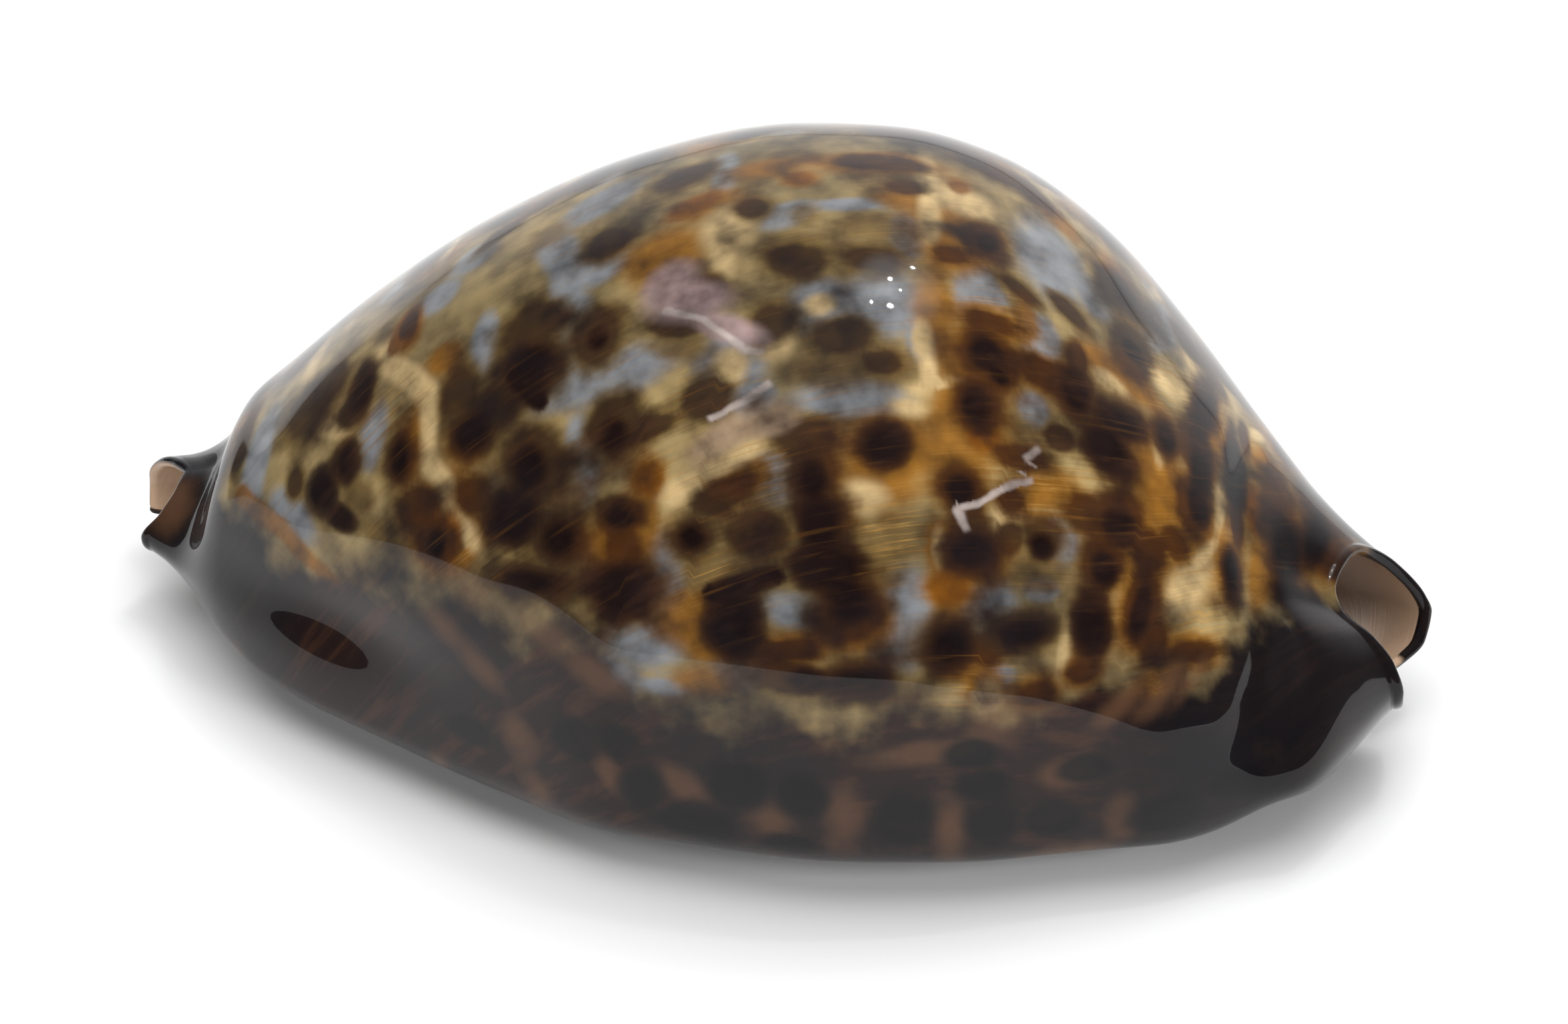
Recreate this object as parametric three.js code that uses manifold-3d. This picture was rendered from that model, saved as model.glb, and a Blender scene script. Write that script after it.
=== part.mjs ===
// A cowrie shell with a humped back and beaked ends, as one hollow solid.
// The wall is one thick band, shaped like a C in every cross-section. It starts at the outer lip,
// goes round the domed back and ends at the inner lip. The gap between the lips is the toothed slit
// along the underside.
// Millimetres. +X is the back (spire) end and -X the front (siphon) end. +Y is the outer-lip side
// and -Y the inner-lip side. +Z is up, and the shell rests on the flat spot of its base at z = 0.
import * as THREE from "three";
import { mergeVertices } from "three/addons/utils/BufferGeometryUtils.js";
import Module from "manifold-3d";

// Driving dimensions
const HALF_LENGTH = 42;
const WALL = 1.9;
const CANAL_WALL = 1.35;
const LIP_THICKNESS = 4.6;
const COLUMELLA_ROLL = 1.2;
const SLIT_HALF_WIDTH = 1.7;
const LIP_RISE = 1.1;
const LIP_BEVEL_WIDTH = 3.6;
const LIP_BULGE_SHARE = 0.667;
const CAVITY_HEIGHT_SHARE = 0.45;
const CREASE_DEPTH = 0.5;
const CREASE_WIDTH = 0.9;
const HOLLOW_X = -24.5;
const HOLLOW_DEPTH = 1.4;
const RIM_THINNING = 0.6;
const RIM_ROUNDING = 0.6;
const TOOTH_PITCH = 2.8;
const TOOTH_HALF_THICKNESS = 0.6;
const TOOTH_RELIEF = 0.45;

// Mesh fineness
const STATIONS = 41;
const OUTER_POINTS = 43;
const INNER_POINTS = 23;
const LIP_POINTS = 4;
const RIM_TURNS = [40, 75];
const TOOTH_SIDES = 8;

const rad = THREE.MathUtils.degToRad;

function smooth(from, to, value) {
  const t = THREE.MathUtils.clamp((value - from) / (to - from), 0, 1);
  return t * t * (3 - 2 * t);
}

function bump(value, middle, width) {
  return Math.exp(-(((value - middle) / width) ** 2));
}

// A curve through [x, value] knots that never overshoots between them.
function curve(knots) {
  const last = knots.length - 1;
  const step = knots.slice(1).map((k, i) => k[0] - knots[i][0]);
  const rise = step.map((h, i) => (knots[i + 1][1] - knots[i][1]) / h);
  const slope = knots.map((_, i) => {
    if (i === 0) return rise[0];
    if (i === last) return rise[last - 1];
    if (rise[i - 1] * rise[i] <= 0) return 0;
    const before = 2 * step[i] + step[i - 1];
    const after = step[i] + 2 * step[i - 1];
    return (before + after) / (before / rise[i - 1] + after / rise[i]);
  });
  return (x) => {
    const at = THREE.MathUtils.clamp(x, knots[0][0], knots[last][0]);
    let i = 0;
    while (i < last - 1 && at > knots[i + 1][0]) i += 1;
    const t = (at - knots[i][0]) / step[i];
    return (
      (1 + 2 * t) * (1 - t) ** 2 * knots[i][1] +
      t * (1 - t) ** 2 * step[i] * slope[i] +
      t * t * (3 - 2 * t) * knots[i + 1][1] +
      t * t * (t - 1) * step[i] * slope[i + 1]
    );
  };
}

// The outline seen from above: half-widths on the inner-lip side and on the outer-lip side.
const innerSide = curve([
  [-42, 4.0], [-39.5, 5.5], [-37, 8.0], [-33, 11.9], [-29, 14.9], [-22, 18.7], [-13, 23.1], [-4, 26.4],
  [6, 26.8], [16, 25.0], [25, 21.5], [31, 18.5], [35.5, 15.8], [38.5, 12.8], [42, 6.0],
]);
const outerSide = curve([
  [-42, 3.8], [-39.5, 4.6], [-37, 7.0], [-33, 11.0], [-29, 14.3], [-22, 18.6], [-13, 22.0], [-4, 24.2],
  [6, 24.6], [16, 23.2], [25, 18.5], [31, 13.4], [35.5, 9.2], [38.5, 7.0], [42, 4.8],
]);
// The outline seen from the side: the top of the back and the underside.
const crest = curve([
  [-42, 8.2], [-39, 9.0], [-37, 12.0], [-34, 14.6], [-28, 20.5], [-20, 27.0], [-10, 32.6], [0, 35.6],
  [6, 36.0], [12, 34.8], [19, 30.4], [25, 24.2], [29, 19.7], [31.5, 17.2], [34.5, 15.9], [38, 15.0],
  [42, 13.0],
]);
const underside = curve([
  [-42, 2.7], [-36, 1.4], [-26, 0.4], [-13, -0.35], [13, -0.35], [28, 0.6], [36, 1.9], [42, 3.5],
]);
const axisOffset = curve([[-42, -0.3], [-34, -0.3], [-20, 0], [20, 0], [34, -0.5], [42, -0.8]]);
// How far up each section is widest, as a share of its height.
const widestShare = curve([
  [-42, 0.42], [-37, 0.36], [-30, 0.24], [0, 0.2], [28, 0.24], [37, 0.34], [42, 0.42],
]);
// The slit's middle line seen from below, and its half-width, which opens towards the canals.
const slitMiddle = curve([[-42, 0.0], [-30, 1.2], [0, 2.6], [20, 2.2], [32, 0.6], [42, -1.2]]);
const slitHalfWidth = curve([
  [-42, 1.3], [-36, 1.9], [-20, SLIT_HALF_WIDTH], [24, SLIT_HALF_WIDTH - 0.1], [35, 1.6], [42, 0.9],
]);

const inBody = (x) => smooth(-39, -30, x) * smooth(40, 29, x);

// Where the last whorl folds over the spire, as x by angle in degrees.
const creaseLine = curve([
  [60, 30], [97, 30.4], [118, 31.4], [139, 33.3], [150, 33.9], [160, 33.2], [180, 32],
]);

// Lumps and hollows of the outer face, as a change of radius.
// Angles go round from the outer-lip side over the top.
function relief(x, angle) {
  const degrees = THREE.MathUtils.radToDeg(angle);
  const shoulderValley = -1.5 * bump(x, 34.6, 2.2) * bump(degrees, 158, 22);
  const shoulderRidge = 1.3 * bump(x, 38.4, 2.4) * bump(degrees, 192, 20);
  const alongCrease = smooth(50, 80, degrees) * smooth(175, 155, degrees);
  const spireCrease = -CREASE_DEPTH * bump(x, creaseLine(degrees), CREASE_WIDTH) * alongCrease;
  const spireSwelling = 0.5 * bump(x, 29, 2.2) * bump(degrees, 150, 34);
  const frontNeck = -0.5 * bump(x, -37.4, 1.3) * smooth(180, 130, degrees) * smooth(-40, 10, degrees);
  const hollowLine = 166 + 0.5 * (x - HOLLOW_X);
  const sideHollow = -HOLLOW_DEPTH * bump(x, HOLLOW_X, 7.5) * bump(degrees, hollowLine, 10);
  const marginFlange = 0.4 * bump(degrees, hollowLine + 28, 10) * bump(x, HOLLOW_X, 9);
  const atBackEnd = shoulderValley + shoulderRidge + spireCrease + spireSwelling;
  return atBackEnd + frontNeck + sideHollow + marginFlange;
}

// The section's own centre, and the height that the cavity is centred on.
function centres(x) {
  const low = underside(x);
  const high = crest(x);
  const height = high - low;
  return {
    y: axisOffset(x),
    z: low + widestShare(x) * height,
    cavityZ: low + CAVITY_HEIGHT_SHARE * height,
  };
}

function outerPoint(x, angle) {
  const low = underside(x);
  const high = crest(x);
  const middle = centres(x);
  const c = Math.cos(angle);
  const s = Math.sin(angle);
  const halfWidth = 1 / ((1 + c) / 2 / outerSide(x) + (1 - c) / 2 / innerSide(x));
  const up = smooth(-0.35, 0.35, s);
  const halfHeight = 1 / (up / (high - middle.z) + (1 - up) / (middle.z - low));
  const power = 2 + smooth(6, 14, outerSide(x)) * (0.15 * up + 1.1 * (1 - up));
  const radius = (Math.abs(c / halfWidth) ** power + Math.abs(s / halfHeight) ** power) ** (-1 / power);
  const r = radius + relief(x, angle);
  const y = middle.y + r * c;
  const slitBevel = LIP_RISE * inBody(x) * bump(y, slitMiddle(x), LIP_BEVEL_WIDTH);
  return [y, Math.max(middle.z + r * s, 0) + slitBevel * smooth(0, -0.5, s)];
}

// The wall is thick in the base, thicker still where the inner lip rolls up as the columella,
// and thin in the canals.
function wallThickness(x, angle) {
  const s = Math.sin(angle);
  const body = inBody(x);
  const thin = CANAL_WALL + (WALL - CANAL_WALL) * body;
  const base = (LIP_THICKNESS - WALL) * body * smooth(-0.15, -0.75, s);
  const roll = COLUMELLA_ROLL * body * bump(THREE.MathUtils.radToDeg(angle), 252, 26);
  const atRim = RIM_THINNING * smooth(36, 41.5, Math.abs(x));
  return thin + base + roll - atRim;
}

function innerPoint(x, angle) {
  const [y, z] = outerPoint(x, angle);
  const middle = centres(x);
  const toOuter = Math.hypot(y - middle.y, z - middle.cavityZ);
  const share = 1 - wallThickness(x, angle) / toOuter;
  return [middle.y + (y - middle.y) * share, middle.cavityZ + (z - middle.cavityZ) * share];
}

// Each canal ends in a slanting notch: how far its rim is set back from the tip, by angle in degrees.
const frontNotch = curve([
  [-90, 2.2], [-60, 0.9], [-35, -0.1], [0, -0.4], [30, 0.5], [60, 2.0], [90, 3.1], [120, 3.0], [150, 2.4],
  [180, 1.2], [200, 1.3], [270, 2.2],
]);
const backNotch = curve([
  [-90, 2.8], [-65, 1.5], [-40, 0.4], [-15, 0.2], [0, 0.7], [30, 2.5], [60, 4.4], [90, 5.4], [115, 5.8],
  [132, 5.2], [148, 3.0], [165, 1.5], [185, 0.8], [210, 0.9], [270, 2.0],
]);

function setBack(x, angle) {
  const degrees = THREE.MathUtils.radToDeg(angle);
  return frontNotch(degrees) * smooth(-34, -42, x) - backNotch(degrees) * smooth(30, 42, x);
}

const lipThickness = (x) => CANAL_WALL + (LIP_THICKNESS - CANAL_WALL) * inBody(x);
const lipReach = (x) => LIP_BULGE_SHARE * lipThickness(x);

// The angle at which the outer face turns into a lip, on the side given by 1 (outer lip) or -1 (inner lip).
function lipAngle(x, side) {
  const edge = slitMiddle(x) + side * (slitHalfWidth(x) + 0.75 * lipReach(x));
  let low = side > 0 ? rad(-89) : rad(269);
  let high = side > 0 ? 0 : Math.PI;
  for (let turn = 0; turn < 40; turn += 1) {
    const middle = (low + high) / 2;
    if (side * (outerPoint(x, middle)[0] - edge) > 0) high = middle;
    else low = middle;
  }
  return (low + high) / 2;
}

// One closed cross-section, counted from the outer lip over the back to the inner lip and back inside.
// rimTurn rounds the end of the wall: at 0 degrees the wall has its full thickness, at 90 none.
function section(x, rimTurn) {
  const keep = Math.cos(rad(rimTurn));
  const along = Math.sign(x) * RIM_ROUNDING * Math.sin(rad(rimTurn));
  const outerLip = lipAngle(x, 1);
  const innerLip = lipAngle(x, -1);
  const points = [];
  const place = (y, z, angle) => points.push(new THREE.Vector3(x + along + setBack(x, angle), y, z));
  const pinched = (angle, face) => {
    const out = outerPoint(x, angle);
    const inside = innerPoint(x, angle);
    const from = face === "outer" ? out : inside;
    return [0, 1].map((k) => (out[k] + inside[k]) / 2 + (from[k] - (out[k] + inside[k]) / 2) * keep);
  };
  const turnLip = (angle, towards, faces) => {
    const [start, end] = faces.map((face) => pinched(angle, face));
    const reach = towards * lipReach(x) * keep;
    for (let i = 1; i <= LIP_POINTS; i += 1) {
      const t = i / (LIP_POINTS + 1);
      const onStart = (1 - t) ** 2 * (1 + 2 * t);
      const bulge = 3 * t * (1 - t) * reach;
      place(
        start[0] * onStart + end[0] * (1 - onStart) + bulge,
        start[1] * onStart + end[1] * (1 - onStart),
        angle,
      );
    }
  };
  for (let i = 0; i < OUTER_POINTS; i += 1) {
    const angle = THREE.MathUtils.lerp(outerLip, innerLip, i / (OUTER_POINTS - 1));
    place(...pinched(angle, "outer"), angle);
  }
  turnLip(innerLip, 1, ["outer", "inner"]);
  for (let i = 0; i < INNER_POINTS; i += 1) {
    const angle = THREE.MathUtils.lerp(innerLip, outerLip, i / (INNER_POINTS - 1));
    place(...pinched(angle, "inner"), angle);
  }
  turnLip(outerLip, -1, ["inner", "outer"]);
  return points;
}

// Stations crowd towards the ends, where the shell narrows fastest.
function stationX(i) {
  const share = i / (STATIONS - 1);
  return HALF_LENGTH * (0.5 * (2 * share - 1) - 0.5 * Math.cos(Math.PI * share));
}

function shellSections() {
  const sections = [];
  for (let i = 0; i < STATIONS; i += 1) sections.push(section(stationX(i), 0));
  for (const turn of RIM_TURNS) {
    sections.unshift(section(-HALF_LENGTH, turn));
    sections.push(section(HALF_LENGTH, turn));
  }
  return sections;
}

function loft(sections) {
  const ring = sections[0].length;
  const corner = sections.flat();
  const positions = corner.flatMap((p) => [p.x, p.y, p.z]);
  const index = [];
  for (let i = 0; i < sections.length - 1; i += 1) {
    for (let j = 0; j < ring; j += 1) {
      const a = i * ring + j;
      const b = i * ring + ((j + 1) % ring);
      const [c, d] = [a + ring, b + ring];
      const splitsAlongAD = corner[a].distanceTo(corner[d]) < corner[b].distanceTo(corner[c]);
      index.push(...(splitsAlongAD ? [a, b, d, a, d, c] : [a, b, c, b, d, c]));
    }
  }
  const cap = (at, facesBack) => {
    const flat = sections[at].map((p) => new THREE.Vector2(p.y, p.z));
    for (const triangle of THREE.ShapeUtils.triangulateShape(flat, [])) {
      const turnsLeft = THREE.ShapeUtils.area(triangle.map((place) => flat[place])) > 0;
      if (turnsLeft !== facesBack) triangle.reverse();
      index.push(...triangle.map((place) => at * ring + place));
    }
  };
  cap(0, false);
  cap(sections.length - 1, true);
  return new THREE.BufferGeometry()
    .setAttribute("position", new THREE.Float32BufferAttribute(positions, 3))
    .setIndex(index);
}

// One tooth: a thin round ridge that wraps a lip from the base into the slit.
function tooth(x, side) {
  const angle = lipAngle(x, side);
  const [y, z] = outerPoint(x, angle);
  const radius = LIP_THICKNESS / 2;
  const reach = radius + TOOTH_RELIEF;
  const profile = [[0, -1], [0.94, -0.6], [0.94, 0.6], [0, 1]].map(
    ([out, along]) => new THREE.Vector2(out * reach, along * TOOTH_HALF_THICKNESS),
  );
  return new THREE.LatheGeometry(profile, TOOTH_SIDES)
    .rotateZ(-Math.PI / 2)
    .translate(x, y, z + radius);
}

function toothPlaces() {
  const outerLip = [];
  for (let x = -32; x <= 32; x += TOOTH_PITCH) outerLip.push([x, 1]);
  const frontOfInnerLip = [];
  for (let x = -33; x <= -12; x += TOOTH_PITCH) frontOfInnerLip.push([x, -1]);
  const backOfInnerLip = [];
  for (let x = 20; x <= 32; x += TOOTH_PITCH) backOfInnerLip.push([x, -1]);
  return [...outerLip, ...frontOfInnerLip, ...backOfInnerLip];
}

const wasm = await Module();
wasm.setup();

function solidFrom(geometry) {
  const bare = new THREE.BufferGeometry()
    .setAttribute("position", geometry.getAttribute("position"))
    .setIndex(geometry.index);
  const merged = mergeVertices(bare, 1e-4);
  return new wasm.Manifold(
    new wasm.Mesh({
      numProp: 3,
      vertProperties: merged.attributes.position.array,
      triVerts: new Uint32Array(merged.index.array),
    }),
  );
}

function geometryFrom(solid) {
  const mesh = solid.getMesh();
  return new THREE.BufferGeometry()
    .setAttribute("position", new THREE.Float32BufferAttribute(mesh.vertProperties, mesh.numProp))
    .setIndex(new THREE.BufferAttribute(mesh.triVerts, 1));
}

let shellSolid = solidFrom(loft(shellSections()));
for (const [x, side] of toothPlaces()) shellSolid = shellSolid.add(solidFrom(tooth(x, side)));

const shellGeometry = geometryFrom(shellSolid);
shellGeometry.computeBoundingBox();
const middle = shellGeometry.boundingBox.getCenter(new THREE.Vector3());
shellGeometry.translate(-middle.x, -middle.y, 0);

const shell = new THREE.Mesh(
  shellGeometry,
  new THREE.MeshStandardMaterial({ color: 0x6b4a2c, roughness: 0.12, metalness: 0 }),
);
shell.name = "cowrie_shell";

const group = new THREE.Group();
group.add(shell);

export default group;
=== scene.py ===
import math

import bpy
import numpy as np
from mathutils import Matrix, Vector


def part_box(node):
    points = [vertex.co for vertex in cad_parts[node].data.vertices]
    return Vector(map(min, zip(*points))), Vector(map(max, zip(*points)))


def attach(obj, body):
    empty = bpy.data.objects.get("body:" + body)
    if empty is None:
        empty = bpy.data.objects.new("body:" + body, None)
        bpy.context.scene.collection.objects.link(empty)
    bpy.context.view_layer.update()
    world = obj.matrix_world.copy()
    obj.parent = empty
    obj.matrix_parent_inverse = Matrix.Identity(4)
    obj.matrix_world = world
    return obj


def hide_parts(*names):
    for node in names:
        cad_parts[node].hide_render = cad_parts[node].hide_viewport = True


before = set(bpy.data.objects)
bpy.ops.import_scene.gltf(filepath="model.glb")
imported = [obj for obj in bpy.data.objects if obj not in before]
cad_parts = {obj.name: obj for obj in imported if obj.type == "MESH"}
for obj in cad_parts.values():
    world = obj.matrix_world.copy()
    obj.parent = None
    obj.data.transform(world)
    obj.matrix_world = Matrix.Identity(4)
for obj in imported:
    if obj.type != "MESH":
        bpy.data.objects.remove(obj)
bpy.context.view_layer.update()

MM = 0.001

# Driving dimensions, the same as in the part's source (mm)
HALF_LENGTH = 42
WALL = 1.9
CANAL_WALL = 1.35
LIP_THICKNESS = 4.6
COLUMELLA_ROLL = 1.2
SLIT_HALF_WIDTH = 1.7
LIP_RISE = 1.1
RIM_THINNING = 0.6
RIM_ROUNDING = 0.6
TOOTH_PITCH = 2.8
TOOTH_HALF_THICKNESS = 0.6
TOOTH_RELIEF = 0.45
LIP_BEVEL_WIDTH = 3.6
LIP_BULGE_SHARE = 0.667
CAVITY_HEIGHT_SHARE = 0.45
CREASE_WIDTH = 0.9
HOLLOW_X = -24.5
HOLLOW_DEPTH = 1.4
# Shallower than in the part's source, so that it doesn't mirror the floor as a grey stripe (mm)
CREASE_DEPTH = 0.22

# Mesh fineness
BODY_STATIONS = 280
RIM_TURNS = (12, 24, 36, 48, 60, 72, 82, 90)
OUTER_POINTS = 232
INNER_POINTS = 62
LIP_POINTS = 8
EASING = ((-1, 0.1), (-0.5, 0.25), (0, 0.3), (0.5, 0.25), (1, 0.1))


def smooth(start, end, value):
    t = np.clip((value - start) / (end - start), 0, 1)
    return t * t * (3 - 2 * t)


def bump(value, middle, width):
    return np.exp(-(((value - middle) / width) ** 2))


def curve(*knots):
    """A curve through (x, value) knots that never overshoots between them."""
    at = np.array([k[0] for k in knots], float)
    value = np.array([k[1] for k in knots], float)
    step = np.diff(at)
    rise = np.diff(value) / step
    slope = np.zeros(len(at))
    slope[0], slope[-1] = rise[0], rise[-1]
    for i in range(1, len(at) - 1):
        if rise[i - 1] * rise[i] > 0:
            before = 2 * step[i] + step[i - 1]
            after = step[i] + 2 * step[i - 1]
            slope[i] = (before + after) / (before / rise[i - 1] + after / rise[i])

    def read(x):
        x = np.clip(x, at[0], at[-1])
        i = np.clip(np.searchsorted(at, x) - 1, 0, len(at) - 2)
        t = (x - at[i]) / step[i]
        return (
            (1 + 2 * t) * (1 - t) ** 2 * value[i]
            + t * (1 - t) ** 2 * step[i] * slope[i]
            + t * t * (3 - 2 * t) * value[i + 1]
            + t * t * (t - 1) * step[i] * slope[i + 1]
        )

    return read


def eased(read, reach=1.6):
    """The same curve with its bends softened, for an even gloss."""
    def read_eased(x):
        near = np.minimum(reach, np.maximum(HALF_LENGTH - np.abs(x), 0))
        return sum(share * read(x + part * near) for part, share in EASING)
    return read_eased


inner_side = eased(curve(
    (-42, 4.0), (-39.5, 5.5), (-37, 8.0), (-33, 11.9), (-29, 14.9), (-22, 18.7), (-13, 23.1), (-4, 26.4),
    (6, 26.8), (16, 25.0), (25, 21.5), (31, 18.5), (35.5, 15.8), (38.5, 12.8), (42, 6.0),
))
outer_side = eased(curve(
    (-42, 3.8), (-39.5, 4.6), (-37, 7.0), (-33, 11.0), (-29, 14.3), (-22, 18.6), (-13, 22.0), (-4, 24.2),
    (6, 24.6), (16, 23.2), (25, 18.5), (31, 13.4), (35.5, 9.2), (38.5, 7.0), (42, 4.8),
))
crest = eased(curve(
    (-42, 8.2), (-39, 9.0), (-37, 12.0), (-34, 14.6), (-28, 20.5), (-20, 27.0), (-10, 32.6), (0, 35.6),
    (6, 36.0), (12, 34.8), (19, 30.4), (25, 24.2), (29, 19.7), (31.5, 17.2), (34.5, 15.9), (38, 15.0),
    (42, 13.0),
))
underside = eased(curve(
    (-42, 2.7), (-36, 1.4), (-26, 0.4), (-13, -0.35), (13, -0.35), (28, 0.6), (36, 1.9), (42, 3.5),
))
axis_offset = curve((-42, -0.3), (-34, -0.3), (-20, 0), (20, 0), (34, -0.5), (42, -0.8))
widest_share = curve((-42, 0.42), (-37, 0.36), (-30, 0.24), (0, 0.2), (28, 0.24), (37, 0.34), (42, 0.42))
slit_middle = curve((-42, 0.0), (-30, 1.2), (0, 2.6), (20, 2.2), (32, 0.6), (42, -1.2))
slit_half_width = curve(
    (-42, 1.3), (-36, 1.9), (-20, SLIT_HALF_WIDTH), (24, SLIT_HALF_WIDTH - 0.1), (35, 1.6), (42, 0.9),
)
front_notch = curve(
    (-90, 2.2), (-60, 0.9), (-35, -0.1), (0, -0.4), (30, 0.5), (60, 2.0), (90, 3.1), (120, 3.0), (150, 2.4),
    (180, 1.2), (200, 1.3), (270, 2.2),
)
back_notch = curve(
    (-90, 2.8), (-65, 1.5), (-40, 0.4), (-15, 0.2), (0, 0.7), (30, 2.5), (60, 4.4), (90, 5.4), (115, 5.8),
    (132, 5.2), (148, 3.0), (165, 1.5), (185, 0.8), (210, 0.9), (270, 2.0),
)


# Where the last whorl folds over the spire, as x by angle in degrees
crease_line = curve((60, 30), (97, 30.4), (118, 31.4), (139, 33.3), (150, 33.9), (160, 33.2), (180, 32))


def in_body(x):
    return smooth(-39, -30, x) * smooth(40, 29, x)


def relief(x, angle):
    degrees = np.degrees(angle)
    near_shoulder = bump(degrees, 150, 34)
    shoulder_valley = -1.5 * bump(x, 34.6, 2.2) * bump(degrees, 158, 22)
    shoulder_ridge = 1.3 * bump(x, 38.4, 2.4) * bump(degrees, 192, 20)
    along_crease = smooth(50, 80, degrees) * smooth(175, 155, degrees)
    spire_crease = -CREASE_DEPTH * bump(x, crease_line(degrees), CREASE_WIDTH) * along_crease
    spire_swelling = 0.5 * bump(x, 29, 2.2) * near_shoulder
    front_neck = -0.5 * bump(x, -37.4, 1.3) * smooth(180, 130, degrees) * smooth(-40, 10, degrees)
    hollow_line = 166 + 0.5 * (x - HOLLOW_X)
    side_hollow = -HOLLOW_DEPTH * bump(x, HOLLOW_X, 7.5) * bump(degrees, hollow_line, 10)
    margin_flange = 0.4 * bump(degrees, hollow_line + 28, 10) * bump(x, HOLLOW_X, 9)
    at_back = shoulder_valley + shoulder_ridge + spire_crease + spire_swelling
    return at_back + front_neck + side_hollow + margin_flange


def outer_point(x, angle):
    low, high = underside(x), crest(x)
    middle_y = axis_offset(x)
    middle_z = low + widest_share(x) * (high - low)
    c, s = np.cos(angle), np.sin(angle)
    half_width = 1 / ((1 + c) / 2 / outer_side(x) + (1 - c) / 2 / inner_side(x))
    up = smooth(-0.35, 0.35, s)
    half_height = 1 / (up / (high - middle_z) + (1 - up) / (middle_z - low))
    power = 2 + smooth(6, 14, outer_side(x)) * (0.15 * up + 1.1 * (1 - up))
    radius = (np.abs(c / half_width) ** power + np.abs(s / half_height) ** power) ** (-1 / power)
    r = radius + relief(x, angle)
    y = middle_y + r * c
    bevel = LIP_RISE * in_body(x) * bump(y, slit_middle(x), LIP_BEVEL_WIDTH) * smooth(0, -0.5, s)
    return y, np.maximum(middle_z + r * s, 0) + bevel


def wall_thickness(x, angle):
    s = np.sin(angle)
    body = in_body(x)
    thin = CANAL_WALL + (WALL - CANAL_WALL) * body
    base = (LIP_THICKNESS - WALL) * body * smooth(-0.15, -0.75, s)
    roll = COLUMELLA_ROLL * body * bump(np.degrees(angle), 252, 26)
    at_rim = RIM_THINNING * smooth(36, 41.5, np.abs(x))
    return thin + base + roll - at_rim


def inner_point(x, angle):
    y, z = outer_point(x, angle)
    low, high = underside(x), crest(x)
    middle_y, cavity_z = axis_offset(x), low + CAVITY_HEIGHT_SHARE * (high - low)
    share = 1 - wall_thickness(x, angle) / np.hypot(y - middle_y, z - cavity_z)
    return middle_y + (y - middle_y) * share, cavity_z + (z - cavity_z) * share


def set_back(x, angle):
    degrees = np.degrees(angle)
    return front_notch(degrees) * smooth(-34, -42, x) - back_notch(degrees) * smooth(30, 42, x)


def lip_reach(x):
    return LIP_BULGE_SHARE * (CANAL_WALL + (LIP_THICKNESS - CANAL_WALL) * in_body(x))


def lip_angle(x, side):
    edge = slit_middle(x) + side * (slit_half_width(x) + 0.75 * lip_reach(x))
    low = np.full_like(x, math.radians(-89 if side > 0 else 269))
    high = np.full_like(x, 0.0 if side > 0 else math.pi)
    for _ in range(40):
        middle = (low + high) / 2
        beyond = side * (outer_point(x, middle)[0] - edge) > 0
        high = np.where(beyond, middle, high)
        low = np.where(beyond, low, middle)
    return (low + high) / 2


def tooth_height(x, side):
    """How far the teeth stand out along one lip, from 0 to 1."""
    rows = [(-32, 32)] if side > 0 else [(-33, -12), (20, 32)]
    height = np.zeros_like(x)
    for start, end in rows:
        for place in np.arange(start, end + 0.01, TOOTH_PITCH):
            height = np.maximum(height, np.exp(-(((x - place) / TOOTH_HALF_THICKNESS) ** 4)))
    return height


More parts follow.
